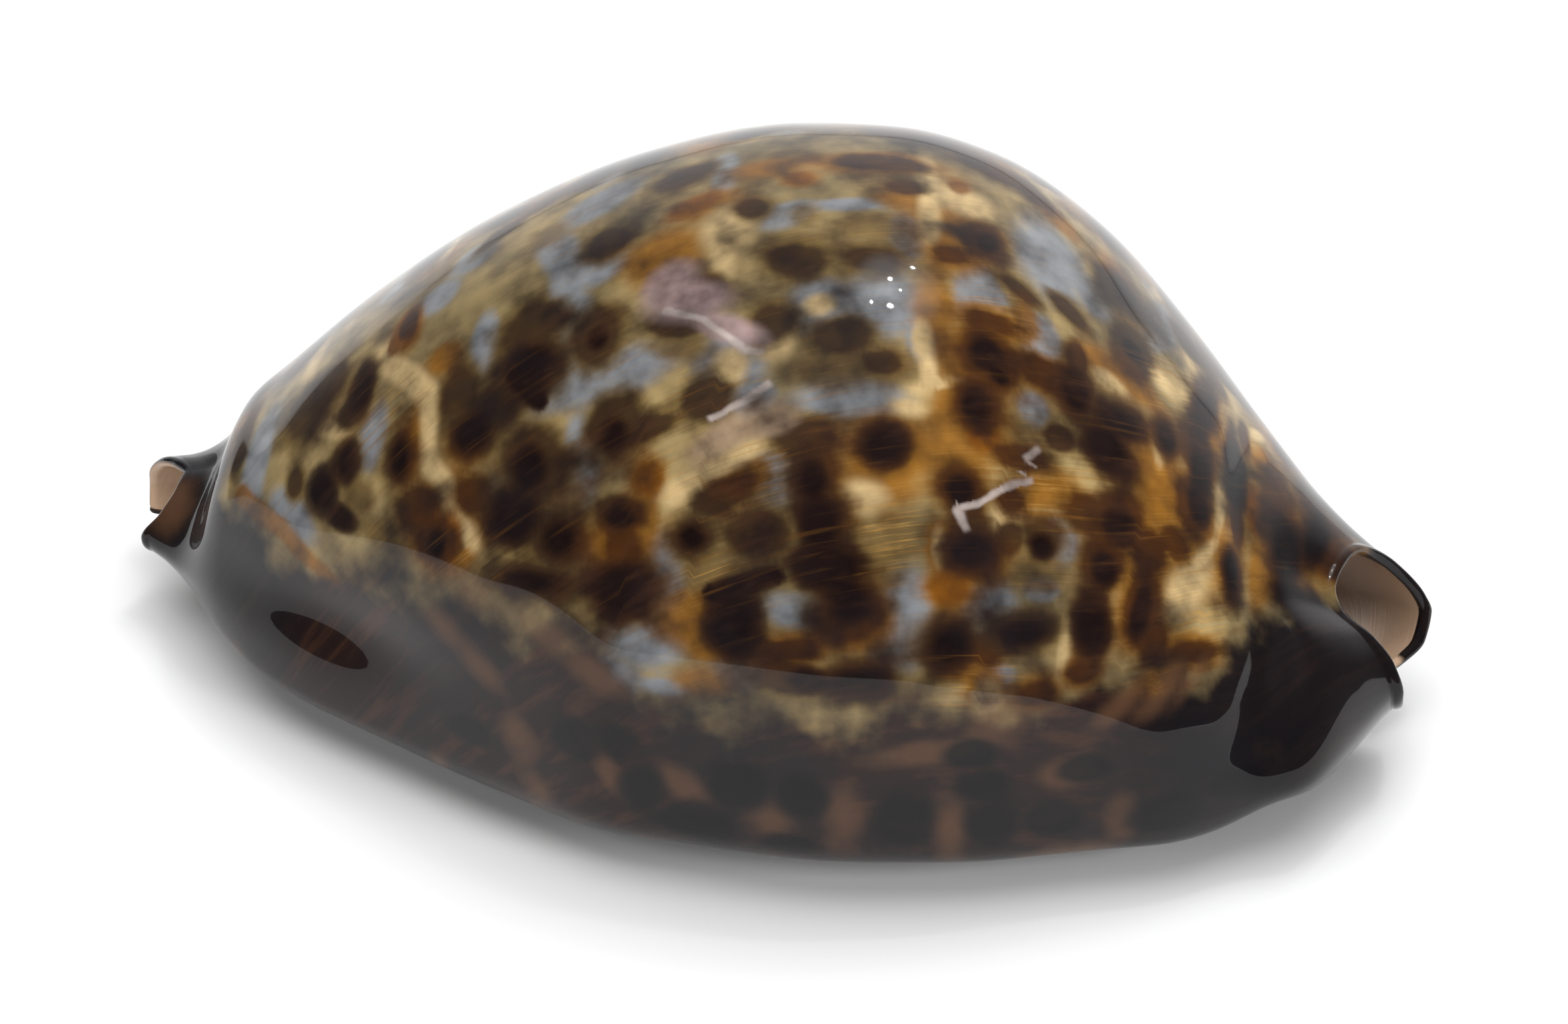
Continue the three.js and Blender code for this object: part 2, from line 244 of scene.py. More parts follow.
def shell_surface():
    """Every vertex of the shell in mm, station by station round the section, with its angle and face."""
    share = np.linspace(0, 1, BODY_STATIONS)
    body_x = HALF_LENGTH * (0.5 * (2 * share - 1) - 0.5 * np.cos(np.pi * share))
    rims = np.array(RIM_TURNS, float)
    rim_x = np.full(len(rims), float(HALF_LENGTH))
    x = np.concatenate([-rim_x, body_x, rim_x])
    turn = np.radians(np.concatenate([rims[::-1], np.zeros(BODY_STATIONS), rims]))
    keep = np.where(turn > math.radians(89.9), 0, np.cos(turn))[:, None]
    along = (np.sign(x) * RIM_ROUNDING * np.sin(turn))[:, None]
    outer_lip, inner_lip = lip_angle(x, 1), lip_angle(x, -1)
    x = x[:, None]

    def from_lip_to_lip(start, end, count):
        steps = np.linspace(0, 1, count)[None, :]
        return start[:, None] * (1 - steps) + end[:, None] * steps

    over = from_lip_to_lip(outer_lip, inner_lip, OUTER_POINTS)
    back = from_lip_to_lip(inner_lip, outer_lip, INNER_POINTS)

    def pinched(angle, face):
        out, inside = outer_point(x, angle), inner_point(x, angle)
        start = out if face == "outer" else inside
        return [(o + i) / 2 + (f - (o + i) / 2) * keep for o, i, f in zip(out, inside, start)]

    def turn_lip(lip, towards, faces):
        angle = np.repeat(lip[:, None], LIP_POINTS, 1)
        t = np.arange(1, LIP_POINTS + 1)[None, :] / (LIP_POINTS + 1)
        on_start = (1 - t) ** 2 * (1 + 2 * t)
        start, end = pinched(angle, faces[0]), pinched(angle, faces[1])
        reach = towards * lip_reach(x) * keep * 3 * t * (1 - t)
        y = start[0] * on_start + end[0] * (1 - on_start) + reach
        z = start[1] * on_start + end[1] * (1 - on_start)
        return angle, y, z

    parts = [
        (over, *pinched(over, "outer"), 0.0),
        (*turn_lip(inner_lip, 1, ("outer", "inner")), 0.5),
        (back, *pinched(back, "inner"), 1.0),
        (*turn_lip(outer_lip, -1, ("inner", "outer")), 0.5),
    ]
    angle = np.concatenate([p[0] for p in parts], 1)
    y = np.concatenate([p[1] for p in parts], 1)
    z = np.concatenate([p[2] for p in parts], 1)
    face = np.concatenate([np.full(p[0].shape, p[3]) for p in parts], 1)

    for side, lip in ((1, outer_lip), (-1, inner_lip)):
        tip_y, tip_z = outer_point(x, lip[:, None])
        centre_z = tip_z + LIP_THICKNESS / 2
        away = np.hypot(y - tip_y, z - centre_z)
        reach = TOOTH_RELIEF * tooth_height(x, side) * smooth(4.2, 2.6, away) * keep
        near_lip = side * (y - slit_middle(x)) > 0
        reach = np.where(near_lip, reach, 0)
        y = y + reach * (y - tip_y) / np.maximum(away, 0.5)
        z = z + reach * (z - centre_z) / np.maximum(away, 0.5)

    px = x + along + set_back(x, angle)
    points = np.stack([px, y, z], -1)
    points = np.concatenate([points, points[:, :1]], 1)
    angle = np.concatenate([angle, angle[:, :1]], 1)
    face = np.concatenate([face, face[:, :1]], 1)
    return points, np.repeat(x, angle.shape[1], 1), angle, face


points, along_x, angle, face = shell_surface()
stations, ring = angle.shape

# The shell is centred on its box, as in the part's source
low = points.reshape(-1, 3).min(0)
high = points.reshape(-1, 3).max(0)
box_low, box_high = (np.array(corner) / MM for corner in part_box("cowrie_shell"))
centring = -(low + high) / 2 * [1, 1, 0]
fit = (box_high - box_low) / (high - low)
placed = (points - (low + high) / 2) * fit + (box_low + box_high) / 2

# The camera, fitted to the outline in the photo, with the photo taken as 2000 x 1306 (degrees, mm and pixels)
PHOTO_WIDTH = 2000
PHOTO_MIDDLE = (1000, 653)
FOCAL = 7614
VIEW_AZIMUTH = 12
VIEW_ELEVATION = 35
VIEW_DISTANCE = 380
VIEW_HEIGHT = 17
VIEW_SHIFT_RIGHT = 0.766
VIEW_SHIFT_UP = -5.249
azimuth, elevation = math.radians(VIEW_AZIMUTH), math.radians(VIEW_ELEVATION)
view_back = np.array([
    math.sin(azimuth) * math.cos(elevation), -math.cos(azimuth) * math.cos(elevation), math.sin(elevation)
])
view_right = np.array([math.cos(azimuth), math.sin(azimuth), 0])
view_up = np.cross(view_back, view_right)
target = np.array([0, 0, VIEW_HEIGHT]) + centring
eye = target + VIEW_DISTANCE * view_back + VIEW_SHIFT_RIGHT * view_right + VIEW_SHIFT_UP * view_up

camera_data = bpy.data.cameras.new("photo_view")
camera_data.sensor_width = 36
camera_data.lens = FOCAL / PHOTO_WIDTH * 36
camera_data.clip_start = 0.01
camera_data.clip_end = 20
camera = bpy.data.objects.new("photo_view", camera_data)
turned = Matrix([view_right, view_up, view_back]).transposed().to_4x4()
camera.matrix_world = Matrix.Translation(Vector(eye * MM)) @ turned
bpy.context.collection.objects.link(camera)
bpy.context.scene.camera = camera

flat = placed.reshape(-1, 3)
on_outer = (face.reshape(-1) == 0)
x_flat = along_x.reshape(-1)
degrees = np.degrees(angle.reshape(-1))

tangent_a = np.gradient(placed, axis=0)
tangent_b = np.gradient(placed, axis=1)
normal = np.cross(tangent_b, tangent_a)
normal /= np.maximum(np.linalg.norm(normal, axis=2, keepdims=True), 1e-9)
normal = normal.reshape(-1, 3)
if (normal[on_outer] * (flat[on_outer] - [0, 0, 12])).sum() < 0:
    normal = -normal
to_eye = eye - flat
facing = (normal * to_eye).sum(1) / np.linalg.norm(to_eye, axis=1)
depth = to_eye @ view_back
screen = np.stack([
    PHOTO_MIDDLE[0] - FOCAL * (to_eye @ view_right) / depth,
    PHOTO_MIDDLE[1] + FOCAL * (to_eye @ view_up) / depth,
], 1)
seen = on_outer & (facing > 0.02)


def place_in_photo(px, py):
    """The vertex of the outer face that shows at a place in the photo."""
    away = np.hypot(screen[:, 0] - px, screen[:, 1] - py) + np.where(seen, 0, 1e6)
    return int(np.argmin(away))


def patch(px, py, rx, ry, tilt=0):
    """A soft oval on the surface round a place in the photo: 1 in its middle, 0 on its edge, less outside."""
    at = place_in_photo(px, py)
    n = normal[at]
    across = view_right - (view_right @ n) * n
    across /= np.linalg.norm(across)
    upward = np.cross(n, across)
    turn = math.radians(tilt)
    a_axis = across * math.cos(turn) + upward * math.sin(turn)
    b_axis = upward * math.cos(turn) - across * math.sin(turn)
    scale = FOCAL / depth[at]
    squash_a = max(0.45, math.hypot(a_axis @ view_right, a_axis @ view_up))
    squash_b = max(0.45, math.hypot(b_axis @ view_right, b_axis @ view_up))
    ra, rb = rx / scale / squash_a, ry / scale / squash_b
    away = flat - flat[at]
    return 1 - np.sqrt((away @ a_axis / ra) ** 2 + (away @ b_axis / rb) ** 2 + (away @ n / max(ra, rb)) ** 2)


# Where the markings of the near side lie in the photo: x, y, half-width, half-height and tilt in degrees,
# as read off. A line has its places and then its half-width. First the blue-grey windows between the spots
WINDOWS = [
    (473, 560, 16, 34, -12), (330, 585, 16, 60, -15), (372, 655, 34, 20, -40), (617, 433, 16, 32, 0),
    (730, 410, 20, 34, 0), (723, 370, 20, 44, 0), (713, 320, 22, 30, 20), (767, 347, 30, 14, 15),
    (763, 257, 50, 14, 25), (720, 490, 46, 20, 22), (783, 480, 62, 26, 8), (740, 590, 20, 40, -25),
    (737, 560, 16, 30, 0), (637, 620, 14, 18, 0), (727, 643, 26, 14, 10), (749, 716, 20, 26, 0),
    (927, 217, 16, 22, 0), (930, 470, 34, 40, -20), (1047, 387, 30, 28, 0), (1083, 513, 62, 20, 0),
    (1000, 273, 32, 14, 25), (1083, 262, 40, 7, 0), (963, 513, 24, 14, 30), (987, 607, 26, 28, 0),
    (843, 737, 22, 44, 0), (1017, 780, 44, 18, 0), (783, 863, 30, 22, 0), (823, 827, 40, 24, 0),
    (1340, 333, 44, 42, 0), (1400, 380, 30, 14, -25), (1267, 383, 18, 14, 0), (1330, 437, 22, 28, 0),
    (1157, 297, 20, 22, 0), (1173, 437, 16, 22, 0), (1320, 526, 16, 18, 0), (1237, 373, 20, 30, 0),
    (1160, 790, 28, 52, 0), (1150, 827, 34, 26, 0), (1263, 785, 28, 32, 0), (1357, 687, 20, 26, 0),
    (1330, 753, 18, 12, 0), (950, 852, 30, 22, 0), (1273, 863, 20, 14, 0), (840, 880, 30, 10, 0),
    (1480, 420, 20, 26, -30), (1130, 385, 40, 34, 0), (600, 330, 30, 12, 30), (560, 380, 26, 12, 30),
    (1250, 350, 22, 10, 0),
]
# Large translucent areas of olive brown
OLIVE_AREAS = [
    (395, 525, 78, 34, 48), (423, 490, 40, 30, 45), (377, 617, 20, 30, 0), (457, 630, 28, 28, 0),
    (483, 683, 44, 20, -15), (587, 520, 40, 60, 0), (600, 550, 50, 46, 0), (643, 500, 34, 50, 0),
    (673, 440, 56, 64, 0), (677, 590, 58, 58, 0), (700, 640, 60, 40, 0), (763, 430, 44, 44, 0),
    (773, 310, 46, 30, 15), (870, 230, 58, 24, 20), (700, 300, 40, 20, 25), (787, 543, 48, 46, 0),
    (850, 530, 60, 26, 20), (863, 437, 56, 18, -12), (987, 405, 40, 34, 0), (1023, 327, 58, 38, 0),
    (1107, 325, 54, 32, 0), (1110, 287, 56, 22, 0), (960, 263, 34, 28, 0), (960, 223, 34, 22, 0),
    (1027, 277, 26, 18, 0), (1080, 437, 56, 38, 0), (1060, 465, 58, 36, 0), (1135, 460, 46, 34, 0),
    (1117, 213, 76, 20, 0), (1133, 240, 40, 16, 0), (1155, 240, 34, 18, 0), (1303, 367, 46, 18, -20),
    (1360, 397, 40, 18, -25), (1213, 323, 42, 30, 0), (1370, 455, 20, 28, 0), (1020, 553, 60, 32, 0),
    (930, 640, 70, 42, 15), (950, 620, 46, 20, 20), (967, 673, 60, 40, 0), (903, 723, 50, 30, 0),
    (927, 745, 66, 26, 12), (1133, 690, 66, 50, 20), (1117, 730, 48, 30, 0), (1323, 725, 50, 30, 0),
    (1290, 560, 44, 40, 0), (1383, 657, 40, 34, 0), (1330, 600, 50, 30, 20), (1500, 620, 40, 40, 0),
    (1463, 640, 40, 40, 0), (780, 690, 46, 46, 0), (700, 720, 60, 50, 0), (990, 200, 60, 12, 0),
    (560, 350, 40, 14, 32), (1640, 690, 50, 90, 0), (1690, 700, 50, 50, 0), (1680, 740, 40, 40, 0),
]
# Golden and orange-brown areas round the spots
AMBER_AREAS = [
    (850, 320, 62, 34, 25), (900, 262, 48, 18, 22), (562, 460, 26, 20, 0), (533, 560, 18, 50, -10),
    (560, 650, 36, 70, -25), (590, 700, 22, 40, -30), (520, 420, 26, 28, 0), (502, 437, 16, 20, 0),
    (830, 617, 26, 34, 0), (825, 660, 22, 50, 0), (950, 613, 36, 18, 20), (880, 795, 50, 38, 0),
    (903, 823, 34, 26, 0), (890, 870, 44, 18, 0), (1003, 833, 52, 22, 10), (1127, 600, 70, 56, 0),
    (1167, 580, 40, 40, 0), (1207, 513, 26, 50, 0), (1197, 390, 32, 44, 0), (1217, 283, 66, 18, 0),
    (1267, 413, 62, 24, 0), (1310, 410, 18, 28, 0), (1220, 240, 22, 14, 0), (1207, 747, 38, 30, 0),
    (1200, 700, 18, 34, 0), (1243, 720, 40, 30, 0), (1333, 633, 62, 26, 15), (1463, 600, 20, 44, 0),
    (1440, 490, 60, 20, -10), (1400, 460, 30, 20, 0), (1453, 700, 60, 60, 45), (1530, 833, 50, 28, 0),
    (1540, 700, 60, 60, 45), (1453, 773, 40, 60, -15), (1600, 650, 16, 36, 0), (1608, 730, 18, 46, -8),
    (1615, 590, 34, 16, -35), (1320, 883, 36, 26, 0), (1250, 880, 30, 40, 20), (1377, 853, 30, 26, 0),
    (1480, 870, 60, 24, 48), (1095, 800, 42, 36, 0), (790, 697, 44, 30, 0), (1333, 477, 44, 24, 0),
    (1230, 560, 60, 70, 0), (1250, 455, 60, 56, 0), (1023, 228, 30, 12, 0), (1740, 700, 40, 16, -30),
    (1110, 208, 110, 14, 3), (980, 215, 50, 12, 0), (1213, 310, 44, 44, 0), (1160, 255, 40, 12, 0),
    (1350, 280, 40, 12, -38), (1420, 340, 30, 10, -38), (1490, 640, 40, 90, 20),
    (1540, 560, 30, 50, -20), (1690, 680, 60, 40, -40),
]
# Cream where growth paused
PALE_BANDS = [
    (927, 293, 36, 30, 0), (923, 327, 18, 28, 0), (863, 633, 26, 22, 30), (883, 610, 40, 16, 35),
    (923, 577, 40, 18, 25), (1237, 257, 54, 18, -15), (1173, 440, 14, 26, 0), (1185, 470, 12, 30, 0),
    (1160, 520, 26, 14, 0), (1420, 487, 28, 14, 0), (1480, 483, 44, 12, -15), (1513, 513, 20, 10, -20),
    (1477, 573, 10, 26, 0), (1517, 753, 46, 26, 45), (1557, 650, 9, 34, -10), (1535, 705, 30, 9, 50),
    (1200, 490, 46, 8, 15), (1257, 900, 20, 26, 0), (1280, 660, 24, 18, 0), (1357, 820, 10, 42, -10),
    (1200, 700, 10, 24, 0), (415, 548, 12, 46, 52), (1103, 627, 34, 24, 0), (1185, 250, 16, 60, 0),
    (490, 455, 22, 22, 0), (1525, 465, 24, 8, -38), (1600, 555, 12, 10, -40), (1047, 392, 20, 14, 0),
    (985, 440, 26, 24, 30), (930, 470, 22, 30, -20),
]
PALE_LINES = [
    ((495, 465), (525, 480), (550, 505), (547, 545), (546, 590), (566, 615), (583, 655), (600, 690), 17),
    ((880, 640), (930, 590), (985, 560), 12),
]
# Brown spots, then their darker middles
BROWN_SPOTS = [
    (312, 560, 11, 46, -16), (395, 520, 50, 22, 48), (423, 483, 26, 18, 45), (460, 497, 20, 36, 0),
    (450, 523, 20, 18, 0), (440, 587, 20, 30, 0), (377, 617, 12, 20, 0), (510, 587, 24, 46, 0),
    (533, 643, 26, 26, 0), (557, 693, 26, 40, -10), (520, 418, 14, 17, 0), (587, 500, 24, 34, 0),
    (600, 552, 36, 38, 0), (643, 513, 24, 26, 0), (673, 417, 42, 30, 0), (677, 467, 46, 48, 0),
    (680, 593, 40, 48, 0), (653, 667, 40, 38, 0), (717, 683, 44, 38, 0), (683, 743, 62, 26, 0),
    (603, 633, 24, 24, 0), (763, 433, 32, 36, 0), (773, 310, 26, 16, 15), (870, 228, 40, 12, 20),
    (787, 543, 36, 40, 0), (830, 540, 34, 14, 15), (677, 573, 30, 20, 0), (860, 420, 34, 12, -12),
    (987, 407, 26, 22, 0), (1020, 330, 40, 20, 0), (1107, 325, 34, 15, 0), (897, 373, 26, 20, 0),
    (1078, 432, 38, 20, 0), (1128, 465, 26, 14, 0), (903, 513, 34, 28, 45), (1017, 553, 42, 22, 0),
    (1123, 570, 40, 34, 0), (883, 680, 34, 30, 0), (917, 637, 45, 18, 25), (967, 673, 44, 24, 0),
    (787, 660, 32, 24, 0), (797, 697, 26, 24, 0), (790, 753, 42, 40, 0), (933, 793, 38, 46, 0),
    (1037, 600, 32, 34, 0), (1045, 640, 30, 34, 0), (1050, 670, 36, 40, 0), (1067, 733, 54, 36, 0),
    (1080, 780, 42, 38, 0), (1010, 870, 58, 20, 0), (1093, 870, 58, 28, 0), (1003, 833, 40, 12, 10),
    (1127, 210, 60, 9, 0), (1155, 240, 24, 9, 0), (960, 263, 20, 13, 0), (1160, 175, 30, 8, 0),
    (1263, 213, 40, 14, -30), (1313, 243, 40, 10, -35), (1257, 307, 30, 20, -35),
    (1208, 327, 24, 11, 0), (1437, 373, 50, 24, -38), (1447, 447, 36, 30, -20),
    (1515, 440, 30, 10, -42), (1550, 485, 36, 8, -38), (1360, 397, 34, 9, -25), (1300, 367, 30, 8, -20),
    (1253, 453, 44, 38, 0), (1267, 413, 44, 11, 0), (1273, 477, 24, 16, 0), (1330, 477, 30, 20, 0),
    (1243, 520, 36, 36, 0), (1373, 497, 28, 40, 0), (1370, 455, 14, 20, 0), (1430, 537, 48, 32, 0),
    (1413, 570, 40, 36, 0), (1535, 520, 28, 40, -20), (1522, 575, 28, 36, 0), (1522, 640, 26, 38, 0),
    (1572, 600, 16, 60, 0), (1577, 670, 9, 30, 0), (1572, 730, 16, 38, 0), (1590, 560, 10, 24, 0),
    (1227, 627, 32, 32, 0), (1240, 700, 36, 32, 0), (1233, 665, 26, 20, 0), (1330, 687, 28, 28, 0),
    (1213, 830, 42, 40, 0), (1303, 807, 46, 24, 0), (1260, 825, 30, 20, 0), (1393, 793, 28, 48, 0),
    (1407, 720, 28, 34, 0), (1383, 657, 30, 26, 0), (1427, 660, 34, 34, 0), (1453, 773, 24, 50, -18),
    (1467, 815, 20, 24, -30), (1530, 833, 34, 16, 10), (1320, 883, 26, 16, 0), (1377, 853, 20, 14, 0),
    (1630, 640, 26, 44, 0), (1640, 700, 32, 64, 0), (1655, 755, 34, 26, 0), (1490, 560, 26, 28, 0),
    (1465, 700, 22, 26, 0), (1500, 690, 14, 26, 40), (1690, 650, 44, 24, -45), (1690, 700, 34, 34, 0),
    (1290, 690, 18, 22, 0), (1350, 560, 18, 16, 0), (1290, 640, 18, 14, 0), (1297, 578, 38, 14, 0),
    (700, 255, 44, 8, 27), (640, 295, 40, 8, 33), (1100, 205, 40, 8, 0),
]
DARK_SPOTS = [
    (460, 497, 14, 26, 0), (440, 590, 12, 22, 0), (410, 630, 24, 30, 0), (437, 663, 24, 14, -30),
    (510, 587, 14, 30, 0), (600, 555, 22, 24, 0), (677, 467, 28, 30, 0), (653, 667, 30, 30, 0),
    (717, 683, 26, 24, 0), (683, 743, 40, 14, 0), (677, 600, 20, 26, 0), (787, 548, 18, 20, 0),
    (790, 753, 32, 32, 0), (787, 665, 18, 12, 0), (1123, 572, 30, 26, 0), (933, 795, 32, 38, 0),
    (1040, 610, 18, 24, 0), (1050, 667, 26, 34, 0), (1067, 733, 46, 30, 0), (1085, 775, 26, 24, 0),
    (883, 680, 20, 18, 0), (1093, 872, 44, 18, 0), (1035, 875, 30, 14, 0), (1253, 453, 24, 20, 0),
    (1273, 477, 14, 10, 0), (1243, 520, 20, 22, 0), (1373, 500, 18, 28, 0), (1430, 540, 34, 20, 0),
    (1413, 575, 30, 28, 0), (1535, 520, 18, 34, -20), (1572, 600, 12, 50, 0), (1525, 645, 14, 22, 0),
    (1227, 627, 18, 18, 0), (1240, 700, 22, 18, 0), (1213, 830, 30, 28, 0), (1303, 807, 28, 14, 0),
    (1330, 690, 18, 18, 0), (1393, 793, 24, 42, 0), (1407, 725, 16, 20, 0), (1425, 663, 20, 20, 0),
    (1437, 373, 28, 12, -38), (1447, 450, 16, 12, 0), (1257, 307, 16, 12, -35), (1572, 732, 10, 28, 0),
    (1640, 700, 20, 50, 0), (1650, 760, 24, 18, 0), (557, 700, 12, 22, -10), (765, 436, 14, 14, 0),
    (1453, 780, 12, 30, -18), (1530, 600, 16, 30, 0), (1490, 560, 14, 18, 0), (1700, 640, 20, 10, -45),
    (1680, 690, 16, 30, -20),
]
DARK_LINES = [((905, 757), (950, 747), (990, 738), 11), ((690, 515), (655, 480), 12)]
AMBER_LINES = [((308, 630), (330, 657), (360, 675), (400, 722), (430, 745), 14)]
# Chipped edges of the old scars, how far round them they are looked for, and how far segments overlap (mm)
SCAR_LINES = [
    ((1231, 678), (1223, 655), (1250, 638), (1290, 621), (1318, 612)),
    ((1306, 586), (1318, 573), (1330, 568)),
    ((845, 402), (900, 410), (950, 440), (972, 445)),
    ((905, 538), (945, 512), (985, 490)),
]
SCAR_REACH = 0.8
SCAR_OVERLAP = 0.3
NO_SCAR = 9.0
# Small areas of a strong orange
ORANGE_SPOTS = [
    (520, 418, 18, 20, 0), (503, 437, 10, 13, 0), (883, 265, 38, 10, 22), (830, 617, 18, 20, 0),
    (1207, 747, 28, 20, 0), (1023, 228, 18, 8, 0), (570, 690, 16, 34, -20), (1220, 240, 14, 9, 0),
    (1250, 560, 20, 20, 0), (1602, 650, 9, 24, 0), (1530, 600, 18, 14, 0),
]
# Where the growth streaks show most
STREAKY_AREAS = [
    (1510, 740, 90, 90, 0), (1490, 480, 80, 40, -20), (1120, 690, 80, 50, 20), (610, 715, 60, 36, 0),
    (950, 600, 120, 60, 20), (1340, 620, 100, 50, 15), (1470, 880, 90, 50, 45), (880, 530, 80, 40, 20),
    (1260, 400, 60, 30, 0), (930, 750, 70, 30, 0), (500, 520, 60, 50, 45), (1250, 880, 50, 50, 0),
]
# Old scars: the lilac patch and the pale patch
LILAC_SCARS = [(855, 362, 38, 24, 45), (880, 385, 48, 22, -5), (930, 418, 42, 18, -25)]
PALE_SCARS = [(935, 548, 62, 20, 30), (980, 540, 40, 16, 20)]
# Round spots of the dark margin, and the rusty gaps between them
MARGIN_SPOTS = [
    (785, 950, 34, 26, 0), (820, 1010, 32, 36, 0), (890, 1050, 54, 26, 0), (940, 1000, 42, 36, 0),
    (1020, 1020, 36, 30, 0), (1010, 1078, 44, 14, 0), (1148, 1045, 44, 38, 0), (1265, 1052, 38, 40, 0),
    (1345, 1045, 42, 24, 0), (1250, 1005, 42, 20, 0), (1490, 1040, 60, 26, 0), (735, 945, 40, 30, 0),
    (1240, 965, 36, 18, 0), (1380, 980, 36, 18, 0), (600, 930, 40, 20, 0), (1580, 1000, 40, 20, 0),
]
MARGIN_GAPS = [
    (872, 1000, 34, 15, -42), (980, 1045, 24, 26, -45), (1075, 1050, 22, 40, 0),
    (1215, 1060, 18, 40, 0), (1350, 1088, 60, 8, 0), (1435, 1050, 18, 26, 0), (660, 940, 26, 16, -40),
    (775, 975, 11, 46, 32), (690, 1010, 24, 10, -30), (605, 758, 30, 16, -20), (690, 800, 40, 14, -22),
    (1480, 885, 40, 12, 48), (1525, 860, 34, 10, 48), (1430, 900, 34, 12, 40), (1160, 960, 60, 12, 8),
    (1360, 985, 30, 14, 0), (1270, 915, 30, 24, 30), (560, 800, 36, 12, -30), (760, 860, 40, 14, -20),
    (610, 850, 40, 12, -30), (220, 642, 30, 26, 40),
]
# The upper edge of the dark margin on the near side
MARGIN_EDGE = [
    (262, 590), (285, 632), (330, 668), (400, 725), (450, 705), (560, 742), (650, 775), (760, 815),
    (860, 875), (960, 895), (1100, 900), (1200, 895), (1300, 885), (1400, 858), (1500, 850),
    (1600, 795), (1640, 765), (1680, 758),
]


# How far apart the points of a soft line are taken, in pixels of the photo
LINE_STEP = 36


def union(spots, lines=(), sharp=9):
    """The soft ovals and lines melted together: 1 in their middles, 0 on their edges."""
    total = np.full(len(flat), math.exp(-1.5 * sharp))
    for field in [patch(*spot) for spot in spots] + [line_patch(*line) for line in lines]:
        total += np.exp(sharp * np.maximum(field, -1.5))
    return np.log(total) / sharp


def line_patch(*places):
    """A soft line on the surface along places in the photo; the last number is its half-width."""
    places, half_width = places[:-1], places[-1]
    nearest = np.full(len(flat), 1e6)
    for (ax, ay), (bx, by) in zip(places[:-1], places[1:]):
        steps = max(1, int(math.hypot(bx - ax, by - ay) / LINE_STEP))
        shares = [k / steps for k in range(steps + 1)]
        path = [flat[place_in_photo(ax + (bx - ax) * share, ay + (by - ay) * share)] for share in shares]
        for start, end in zip(path[:-1], path[1:]):
            along = end - start
            share = np.clip((flat - start) @ along / max(along @ along, 1e-6), 0, 1)
            nearest = np.minimum(nearest, np.linalg.norm(flat - start - share[:, None] * along, axis=1))
    scale = FOCAL / depth[place_in_photo(*places[0])]
    return 1 - nearest / (half_width / scale)


def beside_scars(paths):
    """How far every vertex lies beside the nearest scar line, signed, and how far within its ends (mm)."""
    nearest = np.full(len(flat), 1e6)
    across = np.full(len(flat), NO_SCAR)
    within = np.full(len(flat), -NO_SCAR)
    for places in paths:
        spots = [place_in_photo(*place) for place in places]
        for number, (first, second) in enumerate(zip(spots[:-1], spots[1:])):
            length = np.linalg.norm(flat[second] - flat[first])
            along = (flat[second] - flat[first]) / length
            offset = flat - flat[first]
            run = offset @ along
            away = np.linalg.norm(offset - np.clip(run, 0, length)[:, None] * along, axis=1)
            before = run + (SCAR_OVERLAP if number > 0 else 0)
            after = length - run + (SCAR_OVERLAP if number < len(spots) - 2 else 0)
            closer = away < nearest
            across = np.where(closer, offset @ np.cross(normal[first], along), across)
            within = np.where(closer, np.minimum(before, after), within)
            nearest = np.minimum(nearest, away)
    return across, np.where(nearest < SCAR_REACH, within, -NO_SCAR)


dark = union(DARK_SPOTS, DARK_LINES)
brown = union(BROWN_SPOTS)
window = union(WINDOWS)
olive = union(OLIVE_AREAS)
amber = union(AMBER_AREAS, AMBER_LINES)
orange = union(ORANGE_SPOTS)
pale = union(PALE_BANDS, PALE_LINES)
streaky = union(STREAKY_AREAS)
lilac = union(LILAC_SCARS)
pale_scar = union(PALE_SCARS)
scar_across, scar_within = beside_scars(SCAR_LINES)
margin_spot = union(MARGIN_SPOTS)
margin_gap = union(MARGIN_GAPS)

# The dark margin: on the near side along its edge in the photo, on the far side mirrored (degrees)
MARGIN_MIRROR = 184
MARGIN_FADE = 18
MARGIN_START = 0.25
edge_places = [place_in_photo(*place) for place in MARGIN_EDGE]
edge_x = np.array([x_flat[i] for i in edge_places])
edge_angle = np.array([degrees[i] for i in edge_places])
order = np.argsort(edge_x)
near_edge = np.interp(x_flat, edge_x[order], edge_angle[order])
far_edge = MARGIN_MIRROR - near_edge
near_margin = (degrees - near_edge) / MARGIN_FADE + MARGIN_START
far_margin = (far_edge - degrees) / MARGIN_FADE + MARGIN_START
margin = np.maximum(near_margin, far_margin)
ends = np.maximum(smooth(-36.2, -38.4, x_flat), smooth(37.5, 40.5, x_flat) * smooth(150, 175, degrees))
margin = np.maximum(margin, ends * 1.5)

# Markings on all that the photo doesn't show, from a fixed seed
SEED = 41
chance = np.random.default_rng(SEED)


def scattered(where, apart, most):
    """Vertices picked at random, none nearer to another than the distance given."""
    picked = []
    for at in chance.permutation(np.where(where)[0]):
        if all(np.linalg.norm(flat[at] - flat[other]) > apart for other in picked):
            picked.append(at)
        if len(picked) >= most:
            break
    return picked


def hidden_patch(at, ra, rb, spin=0.0):
    n = normal[at]
    across = np.array([1.0, 0, 0]) - n[0] * n
    across /= np.linalg.norm(across)
    upward = np.cross(n, across)
    a_axis = across * math.cos(spin) + upward * math.sin(spin)
    b_axis = upward * math.cos(spin) - across * math.sin(spin)
    away = flat - flat[at]
    return 1 - np.sqrt((away @ a_axis / ra) ** 2 + (away @ b_axis / rb) ** 2 + (away @ n / max(ra, rb)) ** 2)


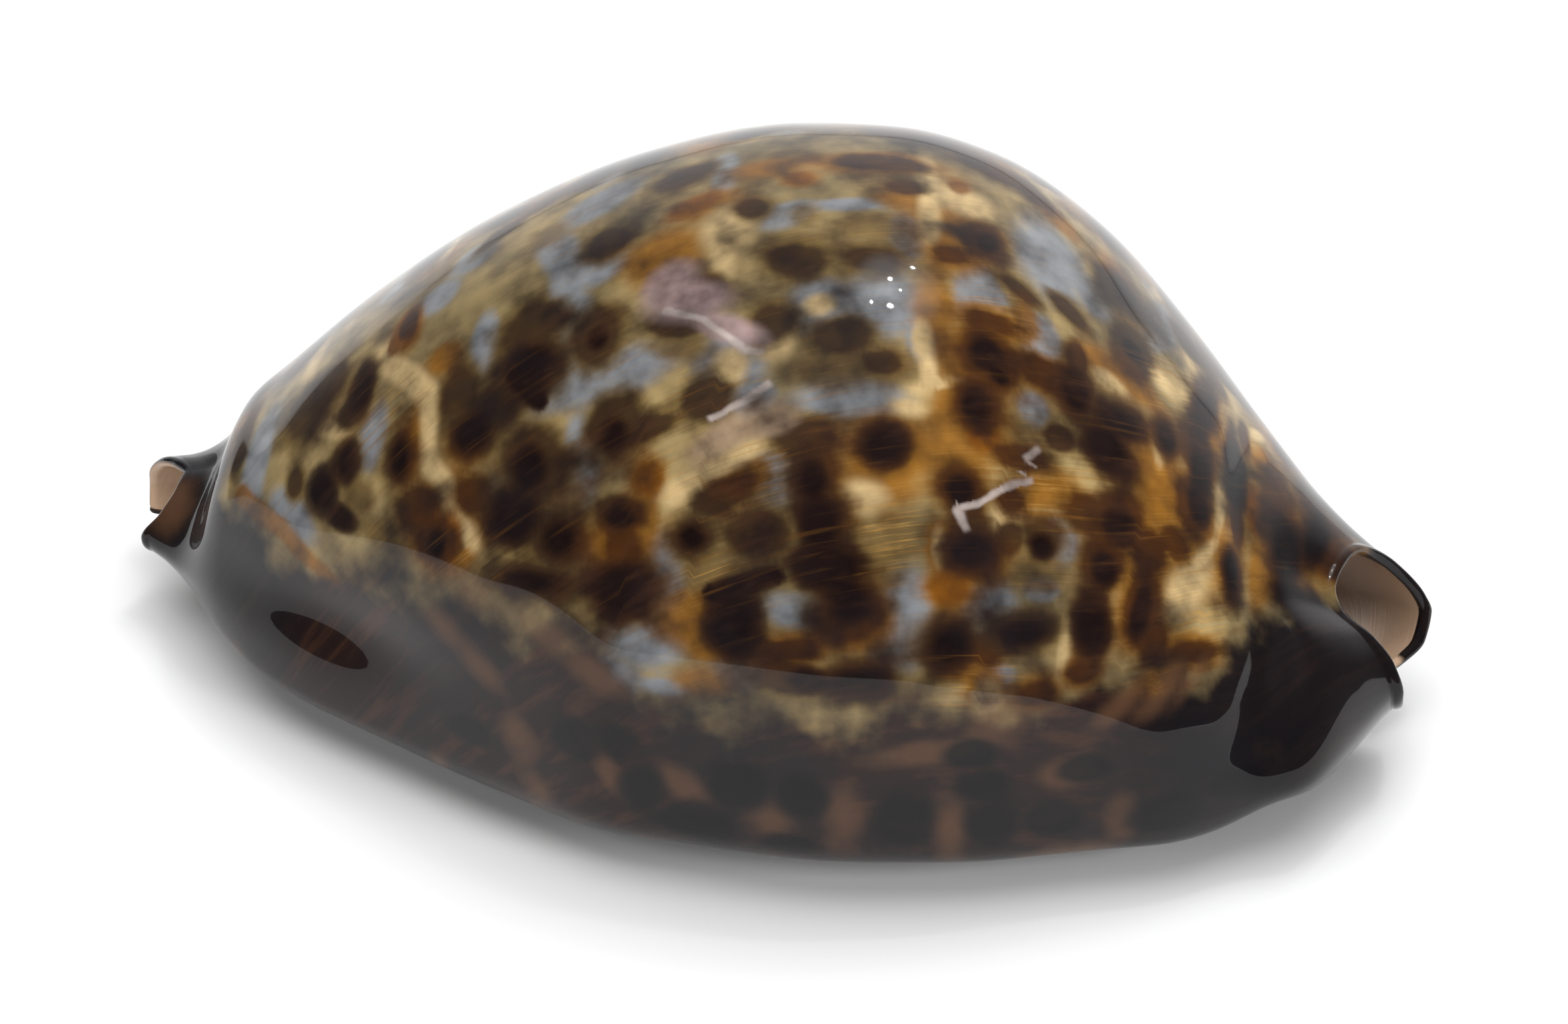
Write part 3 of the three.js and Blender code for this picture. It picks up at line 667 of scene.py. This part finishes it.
unseen = on_outer & (facing < 0.2) & (margin < 0.4) & (np.abs(x_flat) < 39)
for at in scattered(unseen, 3.0, 200):
    kind = chance.random()
    ra, rb, spin = chance.uniform(1.1, 2.3), chance.uniform(1.3, 2.7), chance.uniform(-0.5, 0.5)
    if kind < 0.62:
        brown = np.maximum(brown, hidden_patch(at, ra, rb, spin))
        if kind < 0.36:
            dark = np.maximum(dark, hidden_patch(at, 0.66 * ra, 0.66 * rb, spin))
    elif kind < 0.8:
        olive = np.maximum(olive, hidden_patch(at, 1.6 * ra, 1.3 * rb, spin))
    elif kind < 0.9:
        amber = np.maximum(amber, hidden_patch(at, 1.5 * ra, 1.3 * rb, spin))
    else:
        orange = np.maximum(orange, hidden_patch(at, 0.7 * ra, 0.6 * rb, spin))
for at in scattered(unseen, 5.2, 70):
    window = np.maximum(window, hidden_patch(at, chance.uniform(1.5, 3.0), chance.uniform(1.5, 2.6)))
for at in scattered(unseen, 8.5, 26):
    pale = np.maximum(pale, hidden_patch(at, chance.uniform(0.7, 1.1), chance.uniform(3.0, 5.5)))
for at in scattered(unseen, 7.0, 40):
    amber = np.maximum(amber, hidden_patch(at, chance.uniform(1.6, 3.0), chance.uniform(1.8, 3.2)))
    olive = np.maximum(olive, hidden_patch(at, chance.uniform(2.2, 3.4), chance.uniform(2.2, 3.4)))
dark_rim = on_outer & (margin > 0.6) & (facing < 0.12) & (np.abs(x_flat) < 36)
for at in scattered(dark_rim, 3.6, 150):
    ra, rb = chance.uniform(1.1, 2.0), chance.uniform(1.1, 1.9)
    margin_spot = np.maximum(margin_spot, hidden_patch(at, ra, rb))
for at in scattered(dark_rim, 5.5, 60):
    margin_gap = np.maximum(margin_gap, hidden_patch(at, chance.uniform(0.6, 1.1), chance.uniform(0.8, 1.6)))

# The base pales from its dark margin to the slit; the insides are cream, paler deeper in: partly their own
# pale colour, partly painted light that lifts the shade inside the canals
y_from_slit = np.abs(points[..., 1].reshape(-1) - slit_middle(x_flat))
base_low = smooth(-0.35, -0.8, np.sin(np.radians(degrees)))
base_pale = np.where(face.reshape(-1) == 0, base_low * smooth(15, 4, y_from_slit), 1) * in_body(x_flat)
at_rim = np.zeros((stations, ring))
rim_count = len(RIM_TURNS)
for k in range(rim_count):
    at_rim[rim_count - 1 - k] = (k + 1) / rim_count
    at_rim[stations - rim_count + k] = (k + 1) / rim_count
inside = (face + (0.5 - face) * at_rim).reshape(-1)
dark_far_rim = smooth(41.7, 41.95, x_flat) * smooth(80, 50, degrees) * smooth(-70, -50, degrees)
inside = inside * (1 - dark_far_rim)
# Paler lining deeper in the canals: partly the pale inner colour, partly painted light lifting the shade
# there
deep_and_painted_light = smooth(41, 36, np.abs(x_flat))
tips = smooth(24, 31, np.abs(x_flat))

# Length along the section and along the shell, for the grain of the growth lines (mm).
# The lines climb towards the back end, steeply near it.
growth_slant = curve((-42, -22), (-20, -11), (0, -2.5), (12, 2.5), (20, 8), (28, 16), (34, 24), (42, 34))
arc = np.cumsum(np.linalg.norm(np.diff(placed, axis=1, prepend=placed[:, :1]), axis=2), axis=1)
top = np.argmin(np.abs(np.degrees(angle) - 90) + np.where(face == 0, 0, 1e6), axis=1)
arc = arc - arc[np.arange(stations), top][:, None]
slant = growth_slant(placed[..., 0])
GRAIN_SPAN = 100
grain_u = placed[..., 0] / GRAIN_SPAN
grain_v = (arc + slant) / GRAIN_SPAN


def deselect():
    bpy.ops.object.select_all(action="DESELECT")


# The shell: a grid whose rows are the sections, closed along the seam and at both rims
deselect()
bpy.ops.mesh.primitive_grid_add(x_subdivisions=stations - 1, y_subdivisions=ring - 1, size=1, calc_uvs=True)
shell = bpy.context.object
shell.name = "cowrie_shell_skin"
mesh = shell.data
mesh.name = "cowrie_shell_skin"
flat_grid = np.zeros(len(mesh.vertices) * 3)
mesh.vertices.foreach_get("co", flat_grid)
flat_grid = flat_grid.reshape(-1, 3)
row = np.rint((flat_grid[:, 0] + 0.5) * (stations - 1)).astype(int)
column = np.rint((flat_grid[:, 1] + 0.5) * (ring - 1)).astype(int)
index = row * ring + column
mesh.vertices.foreach_set("co", (flat[index] * MM).ravel())

loop_vertex = np.zeros(len(mesh.loops), int)
mesh.loops.foreach_get("vertex_index", loop_vertex)
uv = mesh.uv_layers[0]
uv.name = "growth"
grain = np.stack([grain_u.reshape(-1), grain_v.reshape(-1)], 1)[index[loop_vertex]]
uv.data.foreach_set("uv", grain.ravel())

FIELDS = {
    "dark": dark, "brown": brown, "window": window, "olive": olive, "amber": amber, "orange": orange,
    "pale": pale, "streaky": streaky, "lilac": lilac, "pale_scar": pale_scar, "margin": margin,
    "margin_spot": margin_spot, "margin_gap": margin_gap, "scar_across": scar_across,
    "scar_within": scar_within, "base_pale": base_pale, "inside": inside, "deep_and_painted_light": deep_and_painted_light, "tips": tips,
}
for name, values in FIELDS.items():
    field = mesh.attributes.new(name, "FLOAT", "POINT")
    field.data.foreach_set("value", values[index].astype(np.float32))

bpy.ops.object.mode_set(mode="EDIT")
bpy.ops.mesh.select_all(action="SELECT")
bpy.ops.mesh.remove_doubles(threshold=1e-6)
bpy.ops.mesh.normals_make_consistent(inside=False)
bpy.ops.object.mode_set(mode="OBJECT")
bpy.ops.object.shade_smooth()


# Colours as they look on a screen, 0 to 255
TAN_HAZE = (172, 149, 102)
DULL_TAN = (140, 122, 84)
BLUE_GREY = (142, 146, 150)
OLIVE_BROWN = (110, 88, 50)
AMBER = (154, 101, 24)
CREAM = (222, 192, 138)
GOLDEN_GLINT = (202, 154, 80)
OLIVE_HALO = (104, 84, 46)
GOLDEN_HALO = (112, 74, 24)
UMBER = (62, 45, 27)
WARM_BROWN = (72, 40, 14)
STRONG_ORANGE = (132, 78, 12)
DARK_BROWN = (46, 26, 14)
SPOT_BLACK = (16, 8, 8)
RAKED_GOLD = (160, 108, 38)
LILAC = (178, 152, 150)
SCAR_CREAM = (186, 158, 130)
CHIP_WHITE = (216, 200, 192)
VIOLET_BLACK = (34, 22, 20)
RUSTY_SMEAR = (70, 44, 30)
SLATE_BLACK = (24, 22, 26)
TIP_BLACK = (17, 16, 19)
RUSTY_GAP = (94, 66, 46)
MARGIN_BLACK = (13, 12, 15)
BASE_CREAM = (196, 162, 122)
BASE_TAN = (170, 128, 88)
MOUTH_TAN = (188, 158, 132)
# The deep lining colour: partly its own pale colour, partly painted light lifting the shade inside
PALE_LINING_AND_PAINTED_LIGHT = (236, 218, 204)
PAPER = (236, 236, 236)
PALE_PAPER = (242, 242, 242)


def colour(rgb):
    """A colour given as it looks on a screen, 0 to 255, made linear."""
    def linear(v):
        v /= 255
        return v / 12.92 if v <= 0.04045 else ((v + 0.055) / 1.055) ** 2.4
    return (*[linear(v) for v in rgb], 1)


class Finish:
    """Short names for the nodes of one material."""

    def __init__(self, name):
        self.material = bpy.data.materials.new(name)
        self.material.use_nodes = True
        self.tree = self.material.node_tree
        self.shader = self.tree.nodes["Principled BSDF"]

    def node(self, kind, **values):
        made = self.tree.nodes.new(kind)
        for key, value in values.items():
            setattr(made, key, value)
        return made

    def link(self, source, socket):
        self.tree.links.new(source, socket)

    def put(self, socket, value):
        if isinstance(value, bpy.types.NodeSocket):
            self.link(value, socket)
        else:
            socket.default_value = value

    def field(self, name):
        return self.node("ShaderNodeAttribute", attribute_name=name, attribute_type="GEOMETRY").outputs["Fac"]

    def math(self, operation, a, b=0.0, clamp=False):
        made = self.node("ShaderNodeMath", operation=operation, use_clamp=clamp)
        self.put(made.inputs[0], a)
        self.put(made.inputs[1], b)
        return made.outputs[0]

    def ramp(self, value, start, end, low=0.0, high=1.0):
        made = self.node("ShaderNodeMapRange", interpolation_type="SMOOTHSTEP")
        self.put(made.inputs["Value"], value)
        for socket, number in zip(("From Min", "From Max", "To Min", "To Max"), (start, end, low, high)):
            made.inputs[socket].default_value = number
        return made.outputs["Result"]

    def mix(self, factor, a, b):
        made = self.node("ShaderNodeMix", data_type="RGBA")
        self.put(made.inputs[0], factor)
        self.put(made.inputs[6], a)
        self.put(made.inputs[7], b)
        return made.outputs[2]

    def noise(self, vector, scale, detail=3.0, roughness=0.5, stretch=None):
        if stretch:
            mapping = self.node("ShaderNodeMapping")
            mapping.inputs["Scale"].default_value = stretch
            self.link(vector, mapping.inputs["Vector"])
            vector = mapping.outputs["Vector"]
        made = self.node("ShaderNodeTexNoise")
        self.link(vector, made.inputs["Vector"])
        made.inputs["Scale"].default_value = scale
        made.inputs["Detail"].default_value = detail
        made.inputs["Roughness"].default_value = roughness
        return made.outputs["Fac"]


def glossy_shell():
    f = Finish("glossy_spotted_shell")
    place = f.node("ShaderNodeTexCoord").outputs["Object"]
    growth = f.node("ShaderNodeUVMap", uv_map="growth").outputs["UV"]

    cloud = f.noise(place, 95, 3)
    fine_cloud = f.noise(place, 330, 4, 0.6)
    wide_wobble = f.math("SUBTRACT", f.noise(place, 190, 2, 0.5), 0.5)
    wobble = f.math("SUBTRACT", f.noise(place, 430, 3, 0.45), 0.5)
    streak = f.noise(growth, 1.0, 3, 0.6, stretch=(11, 170, 1))
    fine_streak = f.noise(growth, 1.0, 4, 0.65, stretch=(22, 560, 1))
    streaky = f.ramp(f.field("streaky"), -0.6, 0.5, 0.3, 1.0)
    streak_pull = f.math("MULTIPLY", f.math("SUBTRACT", streak, 0.5), streaky)

    def blurred(name, start, end, jitter=1.0, pull=0.6, most=1.0):
        value = f.math("ADD", f.field(name), f.math("MULTIPLY", wobble, 0.7 * jitter))
        value = f.math("ADD", value, f.math("MULTIPLY", wide_wobble, 0.7 * jitter))
        value = f.math("ADD", value, f.math("MULTIPLY", streak_pull, pull))
        return f.ramp(value, start, end, 0.0, most)

    # Ground: a tan haze with blue-grey windows, and cream where growth paused
    ground = f.mix(f.ramp(cloud, 0.38, 0.62), colour(TAN_HAZE), colour(DULL_TAN))
    skin = f.mix(blurred("window", -0.7, 0.15, 0.7, 0.3), ground, colour(BLUE_GREY))
    skin = f.mix(blurred("olive", -0.3, 0.5, 1.0, 0.8, 0.82), skin, colour(OLIVE_BROWN))
    skin = f.mix(blurred("amber", -0.45, 0.45, 1.0, 1.0, 0.88), skin, colour(AMBER))
    skin = f.mix(blurred("pale", -0.45, 0.5, 1.0, 1.0, 0.95), skin, colour(CREAM))
    glint = f.math("MULTIPLY", f.ramp(fine_streak, 0.5, 0.68, 0, 0.55), streaky)
    skin = f.mix(glint, skin, colour(GOLDEN_GLINT))

    # Spots: an olive or golden halo, a brown body and a dark middle
    warm = f.ramp(f.field("amber"), -1.2, 0.2)
    halo = f.mix(warm, colour(OLIVE_HALO), colour(GOLDEN_HALO))
    body = f.mix(warm, colour(UMBER), colour(WARM_BROWN))
    skin = f.mix(blurred("brown", -0.75, 0.0, 1.0, 0.6, 0.8), skin, halo)
    skin = f.mix(blurred("orange", -0.5, 0.3, 0.9, 0.5, 0.9), skin, colour(STRONG_ORANGE))
    skin = f.mix(blurred("brown", -0.3, 0.2, 1.0, 0.6, 0.93), skin, body)
    skin = f.mix(blurred("dark", -0.6, 0.1, 1.0, 0.5, 0.85), skin, colour(DARK_BROWN))
    skin = f.mix(blurred("dark", -0.25, 0.45, 1.0, 0.4), skin, colour(SPOT_BLACK))
    rake = f.math("MULTIPLY", f.ramp(streak, 0.55, 0.72, 0, 0.4), streaky)
    skin = f.mix(rake, skin, colour(RAKED_GOLD))

    skin = f.mix(blurred("lilac", -0.5, 0.35, 0.9, 0.3, 0.92), skin, colour(LILAC))
    skin = f.mix(blurred("pale_scar", -0.5, 0.5, 1.0, 0.8, 0.85), skin, colour(SCAR_CREAM))
    ragged = f.math("ADD", f.field("scar_across"), f.math("MULTIPLY", wobble, 0.8))
    chip = f.ramp(f.math("ABSOLUTE", ragged), 0.38, 0.06, 0, 0.88)
    chip = f.math("MULTIPLY", chip, f.ramp(f.field("scar_within"), -0.15, 0.25))
    skin = f.mix(chip, skin, colour(CHIP_WHITE))

    # Dark margin: a violet-black glaze with rusty smears and round spots
    smear = f.noise(growth, 1.0, 4, 0.6, stretch=(20, 60, 1))
    dark_glaze = f.mix(f.ramp(smear, 0.45, 0.7, 0, 0.7), colour(VIOLET_BLACK), colour(RUSTY_SMEAR))
    dark_glaze = f.mix(f.ramp(cloud, 0.45, 0.65, 0, 0.7), dark_glaze, colour(SLATE_BLACK))
    dark_glaze = f.mix(f.ramp(f.field("tips"), 0, 1, 0, 0.8), dark_glaze, colour(TIP_BLACK))
    dark_glaze = f.mix(blurred("margin_gap", -0.9, 0.8, 1.8, 0.3, 0.65), dark_glaze, colour(RUSTY_GAP))
    dark_glaze = f.mix(blurred("margin_spot", -0.3, 0.35, 0.7, 0.1, 0.9), dark_glaze, colour(MARGIN_BLACK))
    skin = f.mix(blurred("margin", -0.55, 0.6, 1.6, 0.25), skin, dark_glaze)

    # Base, lips and insides; the inside lining is partly painted light, paler deeper in where shade falls
    pale_base = f.mix(f.ramp(fine_cloud, 0.4, 0.7), colour(BASE_CREAM), colour(BASE_TAN))
    ragged_base = f.math("ADD", f.field("base_pale"), f.math("MULTIPLY", wobble, 0.35))
    skin = f.mix(f.ramp(ragged_base, 0.25, 0.8), skin, pale_base)
    # Lining colour, paler deeper in: partly its own colour, partly painted light in place of light inside the
    # canals
    lining_and_painted_light = f.mix(f.field("deep_and_painted_light"), colour(MOUTH_TAN), colour(PALE_LINING_AND_PAINTED_LIGHT))
    skin = f.mix(f.ramp(f.field("inside"), 0.45, 0.8), skin, lining_and_painted_light)

    f.link(skin, f.shader.inputs["Base Color"])
    f.shader.inputs["Roughness"].default_value = 0.5
    f.shader.inputs["Specular IOR Level"].default_value = 0.05
    f.shader.inputs["IOR"].default_value = 1.5
    f.shader.inputs["Coat Weight"].default_value = 1.0
    f.shader.inputs["Coat Roughness"].default_value = 0.03
    f.shader.inputs["Coat IOR"].default_value = 1.345

    waves = f.noise(growth, 1.0, 3, 0.5, stretch=(9, 120, 1))
    dents = f.noise(place, 260, 2, 0.5)
    height = f.math("ADD", f.math("MULTIPLY", waves, 0.5), f.math("MULTIPLY", dents, 0.5))
    relief_bump = f.node("ShaderNodeBump")
    relief_bump.inputs["Strength"].default_value = 0.12
    relief_bump.inputs["Distance"].default_value = 0.0006
    f.link(height, relief_bump.inputs["Height"])
    f.link(relief_bump.outputs["Normal"], f.shader.inputs["Normal"])
    return f.material


def pale_paper():
    f = Finish("pale_floor")
    place = f.node("ShaderNodeTexCoord").outputs["Object"]
    paper = f.mix(f.noise(place, 6, 3), colour(PAPER), colour(PALE_PAPER))
    f.link(paper, f.shader.inputs["Base Color"])
    f.shader.inputs["Roughness"].default_value = 0.8
    f.shader.inputs["Specular IOR Level"].default_value = 0.1
    return f.material


shell.data.materials.clear()
shell.data.materials.append(glossy_shell())
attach(shell, "root")
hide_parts("cowrie_shell")

deselect()
bpy.ops.mesh.primitive_plane_add(size=2.7, location=(0, 1, 0))
floor = bpy.context.object
floor.name = "floor"
floor.data.materials.append(pale_paper())


def soft_light(name, place, size, power, mirrored=True):
    data = bpy.data.lights.new(name, "AREA")
    data.shape = "DISK"
    data.size = size
    data.energy = power
    made = bpy.data.objects.new(name, data)
    made.location = place
    made.rotation_euler = (Vector((0, 0, 0.015)) - Vector(place)).to_track_quat("-Z", "Y").to_euler()
    made.visible_glossy = mirrored
    bpy.context.collection.objects.link(made)
    return made


def studio_world(hot_spot):
    """A dim room in front, a pale wall behind, a soft glow overhead and a small bright spot."""
    world = bpy.data.worlds.new("studio")
    world.use_nodes = True
    tree = world.node_tree
    direction = tree.nodes.new("ShaderNodeTexCoord").outputs["Generated"]
    total = None
    glows = (
        ((0, 1, 0), 0.5, 0.95, 0.03, 0.85),
        ((0, 0, 1), 0.6, 1.0, 0.0, 0.1),
        (hot_spot, 0.97, 0.999, 0.0, 3.0),
    )
    for towards, start, end, dim, bright in glows:
        lean = tree.nodes.new("ShaderNodeVectorMath")
        lean.operation = "DOT_PRODUCT"
        lean.inputs[1].default_value = towards
        tree.links.new(direction, lean.inputs[0])
        rise = tree.nodes.new("ShaderNodeMapRange")
        rise.interpolation_type = "SMOOTHSTEP"
        for socket, number in (("From Min", start), ("From Max", end), ("To Min", dim), ("To Max", bright)):
            rise.inputs[socket].default_value = number
        tree.links.new(lean.outputs["Value"], rise.inputs["Value"])
        if total is None:
            total = rise.outputs["Result"]
        else:
            join = tree.nodes.new("ShaderNodeMath")
            join.operation = "ADD"
            tree.links.new(total, join.inputs[0])
            tree.links.new(rise.outputs["Result"], join.inputs[1])
            total = join.outputs[0]
    background = tree.nodes["Background"]
    background.inputs["Color"].default_value = (0.97, 0.98, 1.0, 1)
    tree.links.new(total, background.inputs["Strength"])
    return world


def mirrored_from(px, py):
    """Where light comes from that the shell mirrors to the viewer at a place in the photo."""
    at = place_in_photo(px, py)
    ray = to_eye[at] / np.linalg.norm(to_eye[at])
    return flat[at], 2 * (normal[at] @ ray) * normal[at] - ray


HOT_SPOT_PLACE = (1135, 372)
bpy.context.scene.world = studio_world(mirrored_from(*HOT_SPOT_PLACE)[1])
bpy.context.scene.view_settings.view_transform = "Standard"
soft_light("overhead", (-0.1, 0.2, 1.4), 2.2, 25, mirrored=False)
soft_light("front_fill", (-0.5, -1.0, 0.6), 0.9, 5, mirrored=False)
soft_light("end_fill", (1.1, -0.45, 0.5), 0.5, 9, mirrored=False)

# Small lights that the shell mirrors: place in the photo and size (m)
SPARKLES = [(1140, 352, 0.016), (1166, 346, 0.01), (1112, 380, 0.014), (1132, 388, 0.02), (1152, 372, 0.008)]
SPARKLE_DISTANCE = 800
SPARKLE_POWER = 600
for number, (px, py, size) in enumerate(SPARKLES):
    place, towards = mirrored_from(px, py)
    light_place = (place + towards * SPARKLE_DISTANCE) * MM
    soft_light(f"sparkle_{number}", light_place, size, SPARKLE_POWER * size * size)
